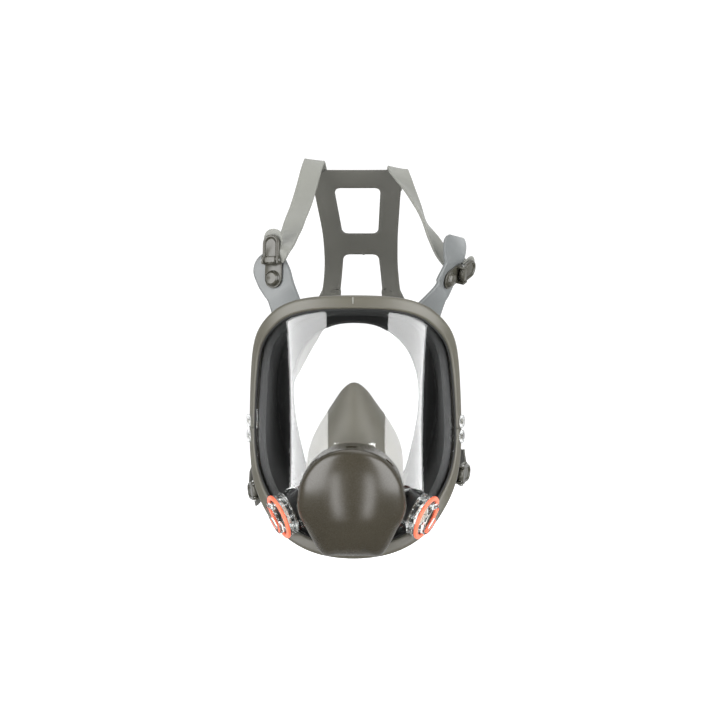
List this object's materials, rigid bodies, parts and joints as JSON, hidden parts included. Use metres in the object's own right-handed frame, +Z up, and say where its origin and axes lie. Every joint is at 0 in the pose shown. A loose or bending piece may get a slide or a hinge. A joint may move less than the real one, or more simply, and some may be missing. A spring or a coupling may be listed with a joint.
{
  "type": "full face respirator",
  "caption": "Full face respirator: wrap-round clear lens in a two-part frame, rubber face seal, side filter ports, domed front cover and a buckled head harness.",
  "frame": {"origin": "centre of the face opening, where the wearer's face meets the seal", "axes": "+Z up, from the chin to the brow; the mask faces -Y; +X is the wearer's left-hand side, which a viewer in front sees on the right"},
  "size_m": [0.1973, 0.2401, 0.3255],
  "materials": {
    "clear_lens": "clear polycarbonate, polished",
    "frame_plastic": "satin moulded",
    "cover_plastic": "satin moulded",
    "seal_rubber": "matt silicone",
    "cup_silicone": "matt silicone",
    "gasket_rubber": "smooth",
    "valve_silicone": "smooth",
    "harness_rubber": "matt elastomer",
    "buckle_plastic": "glossy moulded",
    "steel": "plain"
  },
  "bodies": {
    "mask": {"lens": "clear_lens", "upper_frame": "frame_plastic", "lower_frame": "frame_plastic", "frame_screw_left": "steel", "frame_screw_right": "steel", "faceseal": "seal_rubber", "nose_cup": "cup_silicone", "cup_valve_seat_left": "frame_plastic", "cup_valve_seat_right": "frame_plastic", "centre_adapter": "cover_plastic", "exhalation_seat": "cover_plastic", "inhalation_gasket_left": "gasket_rubber", "inhalation_gasket_right": "gasket_rubber", "inhalation_seat_left": "clear_lens", "inhalation_seat_right": "clear_lens", "head_harness": "harness_rubber", "buckle_stud_upper_left": "buckle_plastic", "buckle_stud_upper_right": "buckle_plastic", "buckle_stud_lower_left": "buckle_plastic", "buckle_stud_lower_right": "buckle_plastic"},
    "cover": {"front_cover": "cover_plastic"},
    "exhalation flap": {"exhalation_valve": "valve_silicone"},
    "upper left buckle": {"buckle_base_upper_left": "buckle_plastic", "buckle_pin_upper_left": "steel"},
    "upper left lever": {"buckle_lever_upper_left": "buckle_plastic"},
    "upper right buckle": {"buckle_base_upper_right": "buckle_plastic", "buckle_pin_upper_right": "steel"},
    "upper right lever": {"buckle_lever_upper_right": "buckle_plastic"},
    "lower left buckle": {"buckle_base_lower_left": "buckle_plastic", "buckle_pin_lower_left": "steel"},
    "lower left lever": {"buckle_lever_lower_left": "buckle_plastic"},
    "lower right buckle": {"buckle_base_lower_right": "buckle_plastic", "buckle_pin_lower_right": "steel"},
    "lower right lever": {"buckle_lever_lower_right": "buckle_plastic"},
    "left inhalation flap": {"inhalation_valve_left": "valve_silicone"},
    "right inhalation flap": {"inhalation_valve_right": "valve_silicone"},
    "left cup flap": {"cup_valve_left": "valve_silicone"},
    "right cup flap": {"cup_valve_right": "valve_silicone"}
  },
  "joints": [
    {"name": "upper_left_swivel", "type": "hinge", "parent": "mask", "child": "upper left buckle", "pos_m": [-0.0685, 0.0095, 0.1215], "axis": [-0.4208, -0.9016, 0.1002], "range_deg": [-12, 12], "deforming": ["head_harness"]},
    {"name": "upper_left_lever", "type": "hinge", "parent": "upper left buckle", "child": "upper left lever", "pos_m": [-0.07088, 0.00524, 0.13706], "axis": [0.9069, -0.4206, 0.0239], "range_deg": [0, 35]},
    {"name": "upper_right_swivel", "type": "hinge", "parent": "mask", "child": "upper right buckle", "pos_m": [0.076, 0.0095, 0.121], "axis": [0.8841, -0.4219, -0.2009], "range_deg": [-12, 12], "deforming": ["head_harness"]},
    {"name": "upper_right_lever", "type": "hinge", "parent": "upper right buckle", "child": "upper right lever", "pos_m": [0.08866, 0.019, 0.12492], "axis": [-0.017, 0.4007, -0.9161], "range_deg": [0, 35]},
    {"name": "lower_left_swivel", "type": "hinge", "parent": "mask", "child": "lower left buckle", "pos_m": [-0.0785, 0.035, -0.058], "axis": [-0.9478, -0.3025, -0.1008], "range_deg": [-12, 12], "deforming": ["head_harness"]},
    {"name": "lower_left_lever", "type": "hinge", "parent": "lower left buckle", "child": "lower left lever", "pos_m": [-0.08892, 0.0473, -0.06045], "axis": [-0.1321, 0.0846, 0.9876], "range_deg": [0, 35]},
    {"name": "lower_right_swivel", "type": "hinge", "parent": "mask", "child": "lower right buckle", "pos_m": [0.078, 0.035, -0.046], "axis": [0.9478, -0.3025, -0.1008], "range_deg": [-12, 12], "deforming": ["head_harness"]},
    {"name": "lower_right_lever", "type": "hinge", "parent": "lower right buckle", "child": "lower right lever", "pos_m": [0.08867, 0.04733, -0.04616], "axis": [-0.0862, 0.0613, -0.9944], "range_deg": [0, 35]},
    {"name": "exhalation_valve_lift", "type": "slide", "parent": "mask", "child": "exhalation flap", "axis": [0, -0.9925, -0.1219], "range_m": [0, 0.002], "stiffness_N_per_m": 40, "springref_m": -0.0005},
    {"name": "inhalation_valve_left_lift", "type": "slide", "parent": "mask", "child": "left inhalation flap", "axis": [0.862, 0.342, 0.374], "range_m": [0, 0.0015], "stiffness_N_per_m": 40, "springref_m": -0.0005},
    {"name": "inhalation_valve_right_lift", "type": "slide", "parent": "mask", "child": "right inhalation flap", "axis": [-0.862, 0.342, 0.374], "range_m": [0, 0.0015], "stiffness_N_per_m": 40, "springref_m": -0.0005},
    {"name": "cup_valve_left_lift", "type": "slide", "parent": "mask", "child": "left cup flap", "axis": [0.977, 0.0431, 0.2089], "range_m": [0, 0.0015], "stiffness_N_per_m": 40, "springref_m": -0.0005},
    {"name": "cup_valve_right_lift", "type": "slide", "parent": "mask", "child": "right cup flap", "axis": [-0.977, 0.0431, 0.2089], "range_m": [0, 0.0015], "stiffness_N_per_m": 40, "springref_m": -0.0005},
    {"name": "front_cover_pull", "type": "slide", "parent": "mask", "child": "cover", "axis": [0, -0.9925, -0.1219], "range_m": [0, 0.025]}
  ]
}
